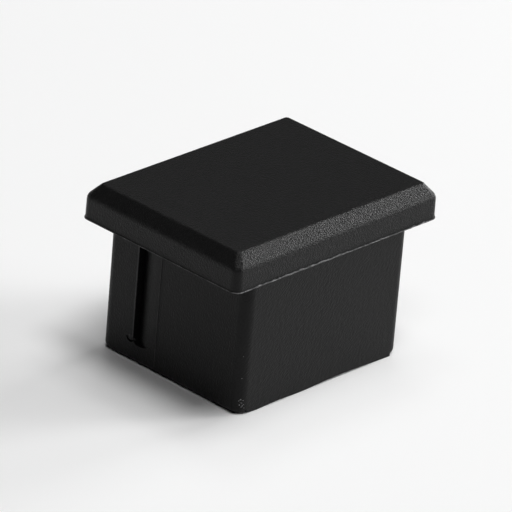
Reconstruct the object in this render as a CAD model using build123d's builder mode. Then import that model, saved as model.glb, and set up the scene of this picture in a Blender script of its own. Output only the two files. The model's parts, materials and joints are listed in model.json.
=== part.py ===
"""Push-in end cap for a rectangular tube: one moulded piece.

Millimetres. The cap stands on the rim of its hollow insert, head up. The origin is
on the ground under the middle of the head, +X along the long side, +Z up.
"""
from build123d import *
from math import radians, tan
import os

# Head: the plate that covers the tube's end. Its lower edge carries a thin fin of flash
# where the mould parted, so the side starts that much inside the head's full size.
head_length = 40.0
head_width = 30.0
head_corner_radius = 1.3
flash_reach = 0.1
flash_thickness = 0.12
side_height = 3.4
side_draft = 1.0  # degrees
bevel_height = 1.85
bevel_inset = 1.6
crown_corner_radius = 0.5
shoulder_radius = 1.2
crown_edge_radius = 0.5

# Insert: the hollow plug that goes into the tube.
seat_ledge_x = 4.1
seat_ledge_y = 1.6
insert_depth = 20.4
insert_corner_radius = 1.6
rim_edge_radius = 0.9

# Hollow inside the insert, open at the rim.
wall_thickness = 2.0
roof_thickness = 2.6
hollow_corner_radius = 1.0
hollow_roof_radius = 1.0

# Scooped groove in one short wall: deep at its back edge, flush at its front edge.
groove_back_edge = 7.2
groove_width = 4.25
groove_depth = 1.2
groove_foot = 2.8
groove_toe_radius = 3.0
groove_heel_radius = 0.8

# Below its back edge the groove hooks round a small bead. A thin lip of flash runs up that
# edge, and a finer witness line marks the groove's front edge over the wall's whole height.
hook_radius = 0.75
hook_width = 0.32
hook_depth = 0.4
hook_rise = 1.0
hook_reach = 0.55
hook_turn = 130.0  # degrees
bead_radius = 0.45
bead_rise = 0.14
lip_width = 0.22
lip_rise = 0.1
witness_width = 0.12
witness_rise = 0.05

# Uneven rim: the front corner is worn up, and the long wall beside it is wavy.
worn_corner_rise = 0.75
worn_corner_run = 3.2
# Each wave knot is its place along the insert, from -0.5 to 0.5, and the rim's rise there.
rim_wave = ((-0.37, 0.05), (-0.26, 0.18), (-0.11, 0.04), (0.02, 0.22), (0.15, 0.30), (0.37, 0.05))

# How far a cutter reaches past the surface that it cuts.
overcut = 1.0

insert_length = head_length - 2 * seat_ledge_x
insert_width = head_width - 2 * seat_ledge_y
groove_wall = -insert_length / 2
groove_front_edge = groove_back_edge - groove_width
bead_place = (groove_back_edge + hook_reach, groove_foot + hook_rise)
seat_height = insert_depth
shoulder_height = seat_height + side_height
crown_height = shoulder_height + bevel_height
roof_height = crown_height - roof_thickness
shoulder_inset = flash_reach + side_height * tan(radians(side_draft))
crown_inset = shoulder_inset + bevel_inset


def rounded_outline(height, length, width, inset, corner_radius):
    """A rounded rectangle at a height, inset on every side, as one section of a loft."""
    with BuildSketch(Plane.XY.offset(height)) as outline:
        RectangleRounded(length - 2 * inset, width - 2 * inset, corner_radius)
    return outline.sketch


def groove_cutter():
    """The groove's space: its section seen from above, kept inside its outline on the wall."""
    outside_x = groove_wall - overcut
    deepest = (groove_wall + groove_depth, groove_back_edge)
    middle_y = (groove_front_edge + groove_back_edge) / 2
    middle_z = (groove_foot + seat_height) / 2
    with BuildPart() as cutter:
        with BuildSketch(Plane.XY):
            with BuildLine():
                TangentArc((groove_wall, groove_front_edge), deepest, tangent=(0, 1))
                Polyline(
                    deepest,
                    (outside_x, groove_back_edge),
                    (outside_x, groove_front_edge),
                    (groove_wall, groove_front_edge),
                )
            make_face()
        extrude(amount=seat_height)
        # On this plane the sketch's own X runs along the wall and its own Y runs up it.
        with BuildSketch(Plane.YZ.offset(outside_x)) as elevation:
            with Locations((middle_y, middle_z)):
                Rectangle(groove_width, seat_height - groove_foot)
            toe = elevation.vertices().group_by(Axis.Y)[0].sort_by(Axis.X)[0]
            fillet(toe, groove_toe_radius)
            heel = elevation.vertices().group_by(Axis.Y)[0].sort_by(Axis.X)[-1]
            fillet(heel, groove_heel_radius)
        extrude(amount=overcut + 2 * groove_depth, mode=Mode.INTERSECT)
    return cutter.part


def hook_cutter():
    """The curved end of the groove: a short slot that passes under the bead."""
    with BuildPart() as cutter:
        with BuildSketch(Plane.YZ.offset(groove_wall - bead_rise)):
            with BuildLine(mode=Mode.PRIVATE) as middle_line:
                CenterArc(bead_place, hook_radius, 270 - hook_turn / 2, hook_turn)
            SlotArc(middle_line.edge(), hook_width)
        extrude(amount=bead_rise + hook_depth)
    return cutter.part


def worn_corner_cutter():
    """What is worn off the rim at the front corner: the space under a rising arc."""
    corner = (-insert_length / 2, -insert_width / 2, 0)
    with BuildPart() as cutter:
        with BuildSketch(Plane(origin=corner, x_dir=(1, 1, 0), z_dir=(1, -1, 0))):
            with BuildLine():
                TangentArc((worn_corner_run, 0), (0, worn_corner_rise), tangent=(-1, 0))
                Polyline(
                    (0, worn_corner_rise),
                    (-overcut, worn_corner_rise),
                    (-overcut, -overcut),
                    (worn_corner_run, -overcut),
                    (worn_corner_run, 0),
                )
            make_face()
        extrude(amount=worn_corner_run + overcut, both=True)
    return cutter.part


def rim_wave_cutter():
    """What the long front wall's rim lacks: the space under a wavy line."""
    first_end = (-insert_length / 2, 0)
    last_end = (insert_length / 2, 0)
    knots = [(place * insert_length, rise) for place, rise in rim_wave]
    with BuildPart() as cutter:
        with BuildSketch(Plane.XZ.offset(insert_width / 2 - wall_thickness)):
            with BuildLine():
                Spline(first_end, *knots, last_end)
                Polyline(
                    last_end,
                    (insert_length / 2, -overcut),
                    (-insert_length / 2, -overcut),
                    first_end,
                )
            make_face()
        extrude(amount=wall_thickness + overcut)
    return cutter.part


with BuildPart() as tube_end_cap:
    # Insert, with its lower edge rounded for entry at the short walls and the corners only.
    add(rounded_outline(0, insert_length, insert_width, 0, insert_corner_radius))
    extrude(amount=seat_height)
    fillet(tube_end_cap.edges().group_by(Axis.Z)[0], rim_edge_radius)
    with BuildSketch(Plane.XY):
        Rectangle(insert_length - 2 * insert_corner_radius, insert_width)
    extrude(amount=rim_edge_radius)

    # Head, from the seat up: drafted side, then bevel, with both corners softened.
    loft(
        [
            rounded_outline(seat_height, head_length, head_width, flash_reach,
                            head_corner_radius - flash_reach),
            rounded_outline(shoulder_height, head_length, head_width, shoulder_inset,
                            head_corner_radius - shoulder_inset),
            rounded_outline(crown_height, head_length, head_width, crown_inset,
                            crown_corner_radius),
        ],
        ruled=True,
    )
    shoulder = tube_end_cap.edges().filter_by_position(Axis.Z, shoulder_height, shoulder_height)
    fillet(shoulder, shoulder_radius)
    fillet(tube_end_cap.edges().group_by(Axis.Z)[-1], crown_edge_radius)
    add(rounded_outline(seat_height, head_length, head_width, 0, head_corner_radius))
    extrude(amount=flash_thickness)

    # Hollow, its roof carried up into the head so that the walls stay about even.
    add(rounded_outline(0, insert_length, insert_width, wall_thickness, hollow_corner_radius))
    extrude(amount=roof_height, mode=Mode.SUBTRACT)
    roof_edge = tube_end_cap.edges().filter_by_position(Axis.Z, roof_height, roof_height)
    fillet(roof_edge, hollow_roof_radius)

    # Groove, with the bead in its hook, the lip on its back edge and the witness line.
    with Locations((groove_wall + bead_radius - bead_rise, *bead_place)):
        Sphere(bead_radius)
    with BuildSketch(Plane.XY.offset(bead_place[1])):
        with Locations((groove_wall, groove_back_edge)):
            Rectangle(2 * lip_rise, lip_width, align=(Align.CENTER, Align.MIN))
    extrude(amount=seat_height - bead_place[1])
    with BuildSketch(Plane.XY.offset(rim_edge_radius)):
        with Locations((groove_wall, groove_front_edge)):
            Rectangle(2 * witness_rise, witness_width, align=(Align.CENTER, Align.MAX))
    extrude(amount=seat_height - rim_edge_radius)
    add(groove_cutter(), mode=Mode.SUBTRACT)
    add(hook_cutter(), mode=Mode.SUBTRACT)

    # Worn corner and waves.
    add(worn_corner_cutter(), mode=Mode.SUBTRACT)
    add(rim_wave_cutter(), mode=Mode.SUBTRACT)

tube_end_cap.part.label = "tube_end_cap"
os.makedirs("parts", exist_ok=True)
export_step(tube_end_cap.part, "parts/tube_end_cap.step")
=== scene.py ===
"""Looks of the rectangular tube end cap: black moulded plastic on a pale studio floor.

Blender works in metres. Sizes here are in millimetres and are turned by MM.
"""

import json
import math
import random

import bmesh
import bpy
from mathutils import Matrix, Vector


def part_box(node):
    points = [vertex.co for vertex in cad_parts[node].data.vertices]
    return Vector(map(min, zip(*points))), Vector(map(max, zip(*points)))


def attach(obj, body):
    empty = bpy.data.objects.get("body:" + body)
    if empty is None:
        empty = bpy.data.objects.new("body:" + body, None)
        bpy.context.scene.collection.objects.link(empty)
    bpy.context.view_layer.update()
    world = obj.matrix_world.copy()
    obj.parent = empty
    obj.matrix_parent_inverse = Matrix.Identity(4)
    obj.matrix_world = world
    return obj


MM = 0.001

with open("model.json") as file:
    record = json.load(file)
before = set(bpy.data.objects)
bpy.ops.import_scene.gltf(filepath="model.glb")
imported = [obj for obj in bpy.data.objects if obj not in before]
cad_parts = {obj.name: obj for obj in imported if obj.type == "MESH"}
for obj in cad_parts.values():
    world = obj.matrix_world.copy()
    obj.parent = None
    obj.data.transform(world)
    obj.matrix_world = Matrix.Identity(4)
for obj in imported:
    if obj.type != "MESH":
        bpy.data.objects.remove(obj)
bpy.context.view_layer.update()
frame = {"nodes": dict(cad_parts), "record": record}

# ---------------------------------------------------------------- sizes, in millimetres
CAP = "tube_end_cap"
CAP_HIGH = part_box(CAP)[1] / MM
SEAT_MOUNT = next(m for m in frame["record"]["mounts"] if m["name"] == "seat")
SEAT = SEAT_MOUNT["pos_m"][2] / MM  # the head's underside, above the floor
FLASH_THICKNESS = 0.12
FLASH_REACH = 0.1  # how far the flash stands out past the head's side
FLASH_TOP = SEAT + FLASH_THICKNESS
HEAD_HALF = Vector((CAP_HIGH.x, CAP_HIGH.y))
HEAD_CORNER = 1.3
SEAT_LEDGE = Vector((4.1, 1.6))  # from the head's edge in to the insert
INSERT_HALF = HEAD_HALF - SEAT_LEDGE
INSERT_CORNER = 1.6

# ---------------------------------------------------------------- camera
FRAME_PIXELS = 512
SENSOR = 36.0
FOCAL_PIXELS = 6000.0
PIXELS_PER_MM = 7.277
CAMERA_AZIMUTH = -137.66
CAMERA_ELEVATION = 25.97
CAMERA_ROLL = 4.89
CENTRE_RIGHT_PIXELS = 4.6  # where the head's middle lies from the frame's middle
CENTRE_DOWN_PIXELS = -38.9
NEAR_CLIP, FAR_CLIP = 0.01, 20.0  # metres


def direction(azimuth, elevation):
    """The unit vector that points to an azimuth and elevation, in degrees."""
    turn, tilt = math.radians(azimuth), math.radians(elevation)
    return Vector((
        math.cos(turn) * math.cos(tilt), math.sin(turn) * math.cos(tilt), math.sin(tilt)))


def add_camera():
    """A long lens that looks down on the corner between the two near walls."""
    back = direction(CAMERA_AZIMUTH, CAMERA_ELEVATION)
    level = direction(CAMERA_AZIMUTH + 90, 0)
    upright = back.cross(level)
    roll = math.radians(CAMERA_ROLL)
    right = math.cos(roll) * level + math.sin(roll) * upright
    up = math.cos(roll) * upright - math.sin(roll) * level
    distance = FOCAL_PIXELS / PIXELS_PER_MM
    place = Vector((0.0, 0.0, SEAT)) + distance * back
    place -= CENTRE_RIGHT_PIXELS / PIXELS_PER_MM * right
    place += CENTRE_DOWN_PIXELS / PIXELS_PER_MM * up
    data = bpy.data.cameras.new("camera")
    data.sensor_width = SENSOR
    data.lens = FOCAL_PIXELS / FRAME_PIXELS * SENSOR
    data.clip_start = NEAR_CLIP
    data.clip_end = FAR_CLIP
    camera = bpy.data.objects.new("camera", data)
    turn = Matrix((right, up, back)).transposed().to_4x4()
    camera.matrix_world = Matrix.Translation(place * MM) @ turn
    bpy.context.collection.objects.link(camera)
    bpy.context.scene.camera = camera


# ---------------------------------------------------------------- shader maths
class Value:
    """A socket that takes part in Python arithmetic: each operator adds its Math node."""

    def __init__(self, shader, socket):
        self.shader = shader
        self.socket = socket

    def math(self, operation, *inputs):
        node = self.shader.add("ShaderNodeMath", {"operation": operation}, dict(enumerate(inputs)))
        return Value(self.shader, node.outputs[0])

    def __add__(self, other):
        return self.math("ADD", self, other)

    def __radd__(self, other):
        return self.math("ADD", other, self)

    def __sub__(self, other):
        return self.math("SUBTRACT", self, other)

    def __rsub__(self, other):
        return self.math("SUBTRACT", other, self)

    def __mul__(self, other):
        return self.math("MULTIPLY", self, other)

    def __rmul__(self, other):
        return self.math("MULTIPLY", other, self)

    def __abs__(self):
        return self.math("ABSOLUTE", self)

    def at_most(self, limit):
        return self.math("MINIMUM", self, limit)

    def step(self, start, end):
        """0 before start, 1 past end, and smooth between. It falls where end is below start."""
        low, high, rising = min(start, end), max(start, end), start < end
        sockets = {"Value": self, "From Min": low, "From Max": high,
                   "To Min": 0.0 if rising else 1.0, "To Max": 1.0 if rising else 0.0}
        node = self.shader.add("ShaderNodeMapRange", {"interpolation_type": "SMOOTHSTEP"}, sockets)
        return Value(self.shader, node.outputs["Result"])


class Shader:
    """The node tree of a new material or of the world."""

    def __init__(self, owner):
        owner.use_nodes = True
        self.owner = owner
        self.tree = owner.node_tree
        self.tree.nodes.clear()

    def add(self, kind, settings=None, sockets=None):
        """Any node: its settings are set first, then each socket's value or link."""
        node = self.tree.nodes.new(kind)
        for name, value in (settings or {}).items():
            setattr(node, name, value)
        for key, value in (sockets or {}).items():
            if isinstance(value, Value):
                value = value.socket
            if isinstance(value, bpy.types.NodeSocket):
                self.tree.links.new(value, node.inputs[key])
            else:
                node.inputs[key].default_value = value
        return node

    def place(self):
        """The point on the piece, in millimetres, as a vector socket."""
        where = self.add("ShaderNodeTexCoord").outputs["Object"]
        node = self.add("ShaderNodeVectorMath", {"operation": "SCALE"},
                        {0: where, "Scale": 1 / MM})
        return node.outputs[0]

    def axes(self, place):
        """The place's x, y and z, each as a value."""
        node = self.add("ShaderNodeSeparateXYZ", None, {0: place})
        return [Value(self, node.outputs[i]) for i in range(3)]

    def drawn_out(self, place, rotation, scale):
        """The place turned back by a rotation, then divided by a scale on each axis."""
        node = self.add("ShaderNodeMapping", {"vector_type": "TEXTURE"},
                        {"Vector": place, "Rotation": rotation, "Scale": scale})
        return node.outputs[0]

    def noise(self, place, grain, detail=2.0, roughness=0.5):
        """Soft noise about 0, whose grains are about so many millimetres across."""
        node = self.add("ShaderNodeTexNoise", None, {
            "Vector": place, "Scale": 1 / grain, "Detail": detail, "Roughness": roughness})
        return Value(self, node.outputs["Fac"]) - 0.5

    def mixed(self, factor, low, high):
        """From the low colour at 0 to the high colour at 1, as a colour socket."""
        node = self.add("ShaderNodeMix", {"data_type": "RGBA"},
                        {"Factor": factor, "A": (*low, 1.0), "B": (*high, 1.0)})
        return node.outputs["Result"]

    def seen_directly(self):
        """1 for the camera's own rays and for those that a mirror or glass passes on."""
        path = self.add("ShaderNodeLightPath").outputs
        seen = Value(self, path["Is Camera Ray"]) + Value(self, path["Is Glossy Ray"])
        return (seen + Value(self, path["Is Transmission Ray"])).at_most(1.0)

    def output(self, surface):
        kind = "World" if isinstance(self.owner, bpy.types.World) else "Material"
        self.add(f"ShaderNodeOutput{kind}", None, {"Surface": surface})


# ---------------------------------------------------------------- materials
BLACK = (0.0030, 0.0030, 0.0031)
# The pale colour of scuffed and torn plastic, also used for the painted highlight on the groove's
# lines.
PALE_SCUFF_AND_HIGHLIGHT = (0.30, 0.30, 0.304)
GLOSS_IOR = 1.46
GLOSS_LEVEL = 0.2
STREAK_TILT = math.radians(-42.0)
STREAK_STRETCH = (3.6, 1.0, 1.0)

# How far across the parts of each pattern are, in millimetres.
GRAIN_SIZE = 0.18
CELL_SIZE = 0.3
STREAK_SIZE = 0.2
SCUFF_SIZE = 1.7
FLECK_SIZE = 0.3
TEAR_SIZE = 0.12
PATCH_SIZE = 1.1

# How tall each pattern is as relief, in millimetres.
HEAD_GRAIN = 0.11
HEAD_CELLS = 0.02
WALL_GRAIN = 0.04
WALL_STREAKS = 0.08
TEAR_RELIEF = 0.01

# Roughness of each finish, and what each pattern adds to it.
WALL_ROUGHNESS = 0.48
HEAD_SMOOTHER = 0.14
GRAIN_ROUGHER = 0.1
SCUFF_ROUGHER = 0.1
TORN_ROUGHNESS = 0.5
TEAR_ROUGHER = 0.2

# Where one finish passes into the next, in millimetres.
HEAD_FADE = 0.05
FLASH_FADE = 0.02
PROUD_START = 0.005
LONG_SIDE_FADE = (1.0, 0.3)
BURRED_FADE = (1.0, 2.0)

# How pale the worn places and the painted highlight are, from 0, black, to 1, fully pale.
FLASH_PALE = 0.22
FLASH_SCUFF = 0.25
FLASH_FLECKS = 0.75
SHORT_FLASH_WEAR = 0.32
LONG_FLASH_WEAR = 0.78
# Painted highlight on the groove's lip and witness line, not wear.
GROOVE_LINES_HIGHLIGHT = 0.08
TORN_PALE = 0.12
TORN_PATCHES = 0.75
TORN_TEARS = 0.6
SHORT_FRINGE_WEAR = 0.22
LONG_FRINGE_WEAR = 0.88


def plastic_surface(shader, colour, rough, height):
    """The plastic's own shader, with a height in millimetres as its relief."""
    relief = shader.add("ShaderNodeBump", None,
                        {"Strength": 1.0, "Distance": MM, "Height": height})
    plastic = shader.add("ShaderNodeBsdfPrincipled", None, {
        "Base Color": colour, "Roughness": rough, "IOR": GLOSS_IOR,
        "Specular IOR Level": GLOSS_LEVEL, "Normal": relief.outputs[0]})
    shader.output(plastic.outputs[0])


def long_sides(y):
    """1 at the head's two long sides, whose flash is worn the most, and 0 between them."""
    start, end = (HEAD_HALF.y - inset for inset in LONG_SIDE_FADE)
    return abs(y).step(start, end)


def cap_plastic():
    """Black plastic: spark-eroded grain on the head, faintly streaked walls, scuffed flash, and a
    painted highlight on the groove's lip and witness line.
    """
    shader = Shader(bpy.data.materials.new("cap_plastic"))
    place = shader.place()
    x, y, z = shader.axes(place)
    head = z.step(SEAT - HEAD_FADE, SEAT + HEAD_FADE)

    # Grain of the head, and the finer, streaked grain of the walls.
    grain = shader.noise(place, GRAIN_SIZE, 1.5, 0.6)
    cells = shader.noise(place, CELL_SIZE, 2.0, 0.5)
    drawn = shader.drawn_out(place, (0.0, STREAK_TILT, 0.0), STREAK_STRETCH)
    streaks = shader.noise(drawn, STREAK_SIZE, 1.0, 0.5)
    head_height = grain * HEAD_GRAIN + cells * HEAD_CELLS
    wall_height = grain * WALL_GRAIN + streaks * WALL_STREAKS
    height = wall_height + head * (head_height - wall_height)

    # Flash along the head's foot: paler where it is scuffed.
    scuff = shader.noise(place, SCUFF_SIZE, 4.0, 0.7).step(-0.12, 0.14)
    fleck = shader.noise(place, FLECK_SIZE, 2.0, 0.6).step(-0.05, 0.12)
    above_foot = z.step(SEAT - FLASH_FADE, SEAT)
    below_top = z.step(FLASH_TOP + FLASH_FADE, FLASH_TOP - FLASH_FADE)
    wear = SHORT_FLASH_WEAR + long_sides(y) * LONG_FLASH_WEAR
    scuffed = FLASH_PALE + scuff * (FLASH_SCUFF + fleck * FLASH_FLECKS)
    flash = above_foot * below_top * scuffed * wear

    # Painted highlight: the lip and witness line of the groove, which stand proud of the short
    # wall, are made paler so that they read as bright edge lines.
    beyond_wall = x.step(-INSERT_HALF.x - PROUD_START, -INSERT_HALF.x - FLASH_FADE)
    below_head = z.step(SEAT, SEAT - FLASH_FADE)
    proud_highlight = beyond_wall * below_head * GROOVE_LINES_HIGHLIGHT

    # The scuffed flash together with the painted highlight on the groove's lines.
    pale = (flash + proud_highlight).at_most(1.0)
    colour = shader.mixed(pale, BLACK, PALE_SCUFF_AND_HIGHLIGHT)
    rough = (WALL_ROUGHNESS - head * HEAD_SMOOTHER
             + grain * GRAIN_ROUGHER + pale * SCUFF_ROUGHER)
    plastic_surface(shader, colour, rough, height)
    return shader.owner


def scuffed_plastic():
    """Torn, whitened plastic of the burrs and of the ragged flash."""
    shader = Shader(bpy.data.materials.new("scuffed_plastic"))
    place = shader.place()
    _, y, z = shader.axes(place)
    tear = shader.noise(place, TEAR_SIZE, 3.0, 0.6)
    patch = shader.noise(place, PATCH_SIZE, 3.0, 0.6).step(-0.15, 0.18)
    burred_start, burred_end = (SEAT - drop for drop in BURRED_FADE)
    worn = (long_sides(y) + z.step(burred_start, burred_end)).at_most(1.0)
    wear = SHORT_FRINGE_WEAR + worn * LONG_FRINGE_WEAR
    pale = (TORN_PALE + patch * TORN_PATCHES + tear * TORN_TEARS) * wear
    colour = shader.mixed(pale, BLACK, PALE_SCUFF_AND_HIGHLIGHT)
    rough = TORN_ROUGHNESS + tear * TEAR_ROUGHER
    plastic_surface(shader, colour, rough, tear * TEAR_RELIEF)
    return shader.owner


# ---------------------------------------------------------------- pieces
def add_piece(name, built, material):
    """Turn what was built, in millimetres, into a piece that rides on the cap."""
    bmesh.ops.scale(built, vec=(MM, MM, MM), verts=built.verts)
    bmesh.ops.recalc_face_normals(built, faces=built.faces)
    mesh = bpy.data.meshes.new(name)
    built.to_mesh(mesh)
    built.free()
    mesh.materials.append(material)
    piece = bpy.data.objects.new(name, mesh)
    bpy.context.collection.objects.link(piece)
    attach(piece, "root")
    return piece


FRINGE_SEED = 11
FRINGE_STEP = 0.55  # between the places where the ragged flash changes
FRINGE_SHIFT = 0.35  # the share of a step by which such a place may wander
FRINGE_RISE = 0.12
FRINGE_DROP = 0.05
FRINGE_HIDDEN = -0.02  # how far the fringe stays inside the flash where it isn't ragged
SHORT_SIDE_CALM = 0.2  # the short sides' share of that rise and drop
FRINGE_SHARE = 0.45  # how much of its run is ragged
FRINGE_INSET = 0.003


def ragged_run(built, centre, along, outward, length, size, ragged):
    """One straight run of ragged flash: a thin bar in steps, whose edges wander.

    Its two ends stay hidden inside the flash, and size scales its rise and drop.
    """
    bar = bmesh.new()
    thickness = 2 * FLASH_REACH
    turn = Matrix((along, outward, Vector((0, 0, 1)))).transposed().to_4x4()
    stretch = Matrix.Diagonal((length, thickness, FLASH_THICKNESS, 1.0))
    middle = centre - outward * (thickness / 2 + FRINGE_INSET)
    bmesh.ops.create_cube(bar, size=1.0, matrix=Matrix.Translation(middle) @ turn @ stretch)
    long_edges = [edge for edge in bar.edges if edge.calc_length() > length / 2]
    bmesh.ops.subdivide_edges(
        bar, edges=long_edges, cuts=round(length / FRINGE_STEP), use_grid_fill=True)
    rings = {}
    for vert in bar.verts:
        rings.setdefault(round((vert.co - middle).dot(along), 2), []).append(vert)
    ends = (min(rings), max(rings))
    for place in sorted(rings):
        rise = drop = FRINGE_HIDDEN
        if place not in ends and ragged.random() < FRINGE_SHARE:
            rise = ragged.random() * FRINGE_RISE * size
        if place not in ends and ragged.random() < FRINGE_SHARE:
            drop = ragged.random() * FRINGE_DROP * size
        shift = ragged.uniform(-FRINGE_SHIFT, FRINGE_SHIFT) * FRINGE_STEP
        for vert in rings[place]:
            vert.co += along * shift
            vert.co.z += rise if vert.co.z > middle.z else -drop
    run = bpy.data.meshes.new("run")
    bar.to_mesh(run)
    bar.free()
    built.from_mesh(run)
    bpy.data.meshes.remove(run)


def ragged_flash(material):
    """The flash's uneven edge along the head's four sides, between its corners."""
    ragged = random.Random(FRINGE_SEED)
    built = bmesh.new()
    height = SEAT + FLASH_THICKNESS / 2
    long_run, short_run = (2 * (half - HEAD_CORNER - FRINGE_STEP) for half in HEAD_HALF)
    for sign in (-1, 1):
        ragged_run(built, Vector((0, sign * HEAD_HALF.y, height)), Vector((1, 0, 0)),
                   Vector((0, sign, 0)), long_run, 1.0, ragged)
        ragged_run(built, Vector((sign * HEAD_HALF.x, 0, height)), Vector((0, 1, 0)),
                   Vector((sign, 0, 0)), short_run, SHORT_SIDE_CALM, ragged)
    return add_piece("ragged_flash", built, material)


BURR_SEED = 5
BURR_SUNK = 0.15  # the share of its size by which a burr is sunk into the corner
BURR_TORN = 0.45  # the share of its size that a burr's most torn point keeps
# Burrs on the insert's front corner: direction round the corner, height, and size.
CORNER_BURRS = (
    (-129.7, 8.98, 0.09), (-128.3, 5.63, 0.12), (-135.5, 2.18, 0.16), (-126.3, 2.40, 0.17),
    (-113.7, 2.23, 0.13), (-119.9, 1.87, 0.20), (-130.9, 1.57, 0.18), (-109.7, 1.60, 0.12),
    (-121.2, 1.26, 0.15), (-105.8, 1.05, 0.10), (-127.1, 1.94, 0.17), (-115.6, 1.43, 0.14),
)


def corner_burrs(material):
    """Torn flecks on the insert's worn front corner."""
    torn = random.Random(BURR_SEED)
    built = bmesh.new()
    middle = Vector((-INSERT_HALF.x + INSERT_CORNER, -INSERT_HALF.y + INSERT_CORNER, 0.0))
    for azimuth, height, size in CORNER_BURRS:
        spot = middle + direction(azimuth, 0) * (INSERT_CORNER - size * BURR_SUNK)
        spot.z = height
        fleck = bmesh.ops.create_icosphere(
            built, subdivisions=1, radius=size, matrix=Matrix.Translation(spot))
        for vert in fleck["verts"]:
            vert.co = spot + (vert.co - spot) * torn.uniform(BURR_TORN, 1.0)
    return add_piece("corner_burrs", built, material)


# ---------------------------------------------------------------- stage
# Metres here, with powers in watts.
FLOOR_SIZE = 3.0
FLOOR_COLOUR = (0.93, 0.93, 0.93, 1.0)
LAMP_DISTANCE = 1.6
LAMP_SIZE = 0.5
# Azimuth, elevation and power of each soft lamp round the cap.
LAMPS = (
    (0, 12, 9.44), (-30, 12, 7.64), (-45, 12, 3.48), (0, 24, 1.48), (-30, 24, 5.84),
    (-135, 60, 3.04), (45, 60, 1.96), (-90, 76, 8.80), (0, 76, 4.48), (90, 76, 1.48),
)
ROOM_COLOUR = (1.0, 1.0, 1.0, 1.0)
ROOM_LIGHT = 0.0
ROOM_SEEN = 0.15


def add_floor():
    """A plain pale floor, the same to every ray."""
    mesh = bpy.data.meshes.new("floor")
    built = bmesh.new()
    bmesh.ops.create_grid(built, x_segments=1, y_segments=1, size=FLOOR_SIZE)
    built.to_mesh(mesh)
    built.free()
    floor = bpy.data.objects.new("floor", mesh)
    bpy.context.collection.objects.link(floor)
    shader = Shader(bpy.data.materials.new("floor_paper"))
    paper = shader.add("ShaderNodeBsdfDiffuse", None, {"Color": FLOOR_COLOUR})
    shader.output(paper.outputs[0])
    mesh.materials.append(shader.owner)


def add_lamp(azimuth, elevation, power):
    """A soft round lamp that faces the middle of the cap."""
    aim = direction(azimuth, elevation)
    name = f"lamp_{azimuth}_{elevation}"
    data = bpy.data.lights.new(name, "AREA")
    data.shape = "DISK"
    data.size = LAMP_SIZE
    data.energy = power
    lamp = bpy.data.objects.new(name, data)
    lamp.location = Vector((0.0, 0.0, CAP_HIGH.z / 2 * MM)) + aim * LAMP_DISTANCE
    lamp.rotation_euler = aim.to_track_quat("Z", "Y").to_euler()
    bpy.context.collection.objects.link(lamp)


def add_world():
    """A room that sheds no light, and is grey where it is seen or mirrored."""
    world = bpy.data.worlds.new("studio")
    shader = Shader(world)
    room = shader.add("ShaderNodeBackground", None,
                      {"Color": ROOM_COLOUR, "Strength": ROOM_LIGHT})
    seen = shader.add("ShaderNodeBackground", None,
                      {"Color": ROOM_COLOUR, "Strength": ROOM_SEEN})
    mix = shader.add("ShaderNodeMixShader", None,
                     {0: shader.seen_directly(), 1: room.outputs[0], 2: seen.outputs[0]})
    shader.output(mix.outputs[0])
    bpy.context.scene.world = world


# ---------------------------------------------------------------- build
add_camera()
add_floor()
add_world()
for azimuth, elevation, power in LAMPS:
    add_lamp(azimuth, elevation, power)

plastic = cap_plastic()
cap = frame["nodes"][CAP]
cap.data.materials.clear()
cap.data.materials.append(plastic)

scuffed = scuffed_plastic()
ragged_flash(scuffed)
corner_burrs(scuffed)

bpy.context.scene.view_settings.view_transform = "Standard"
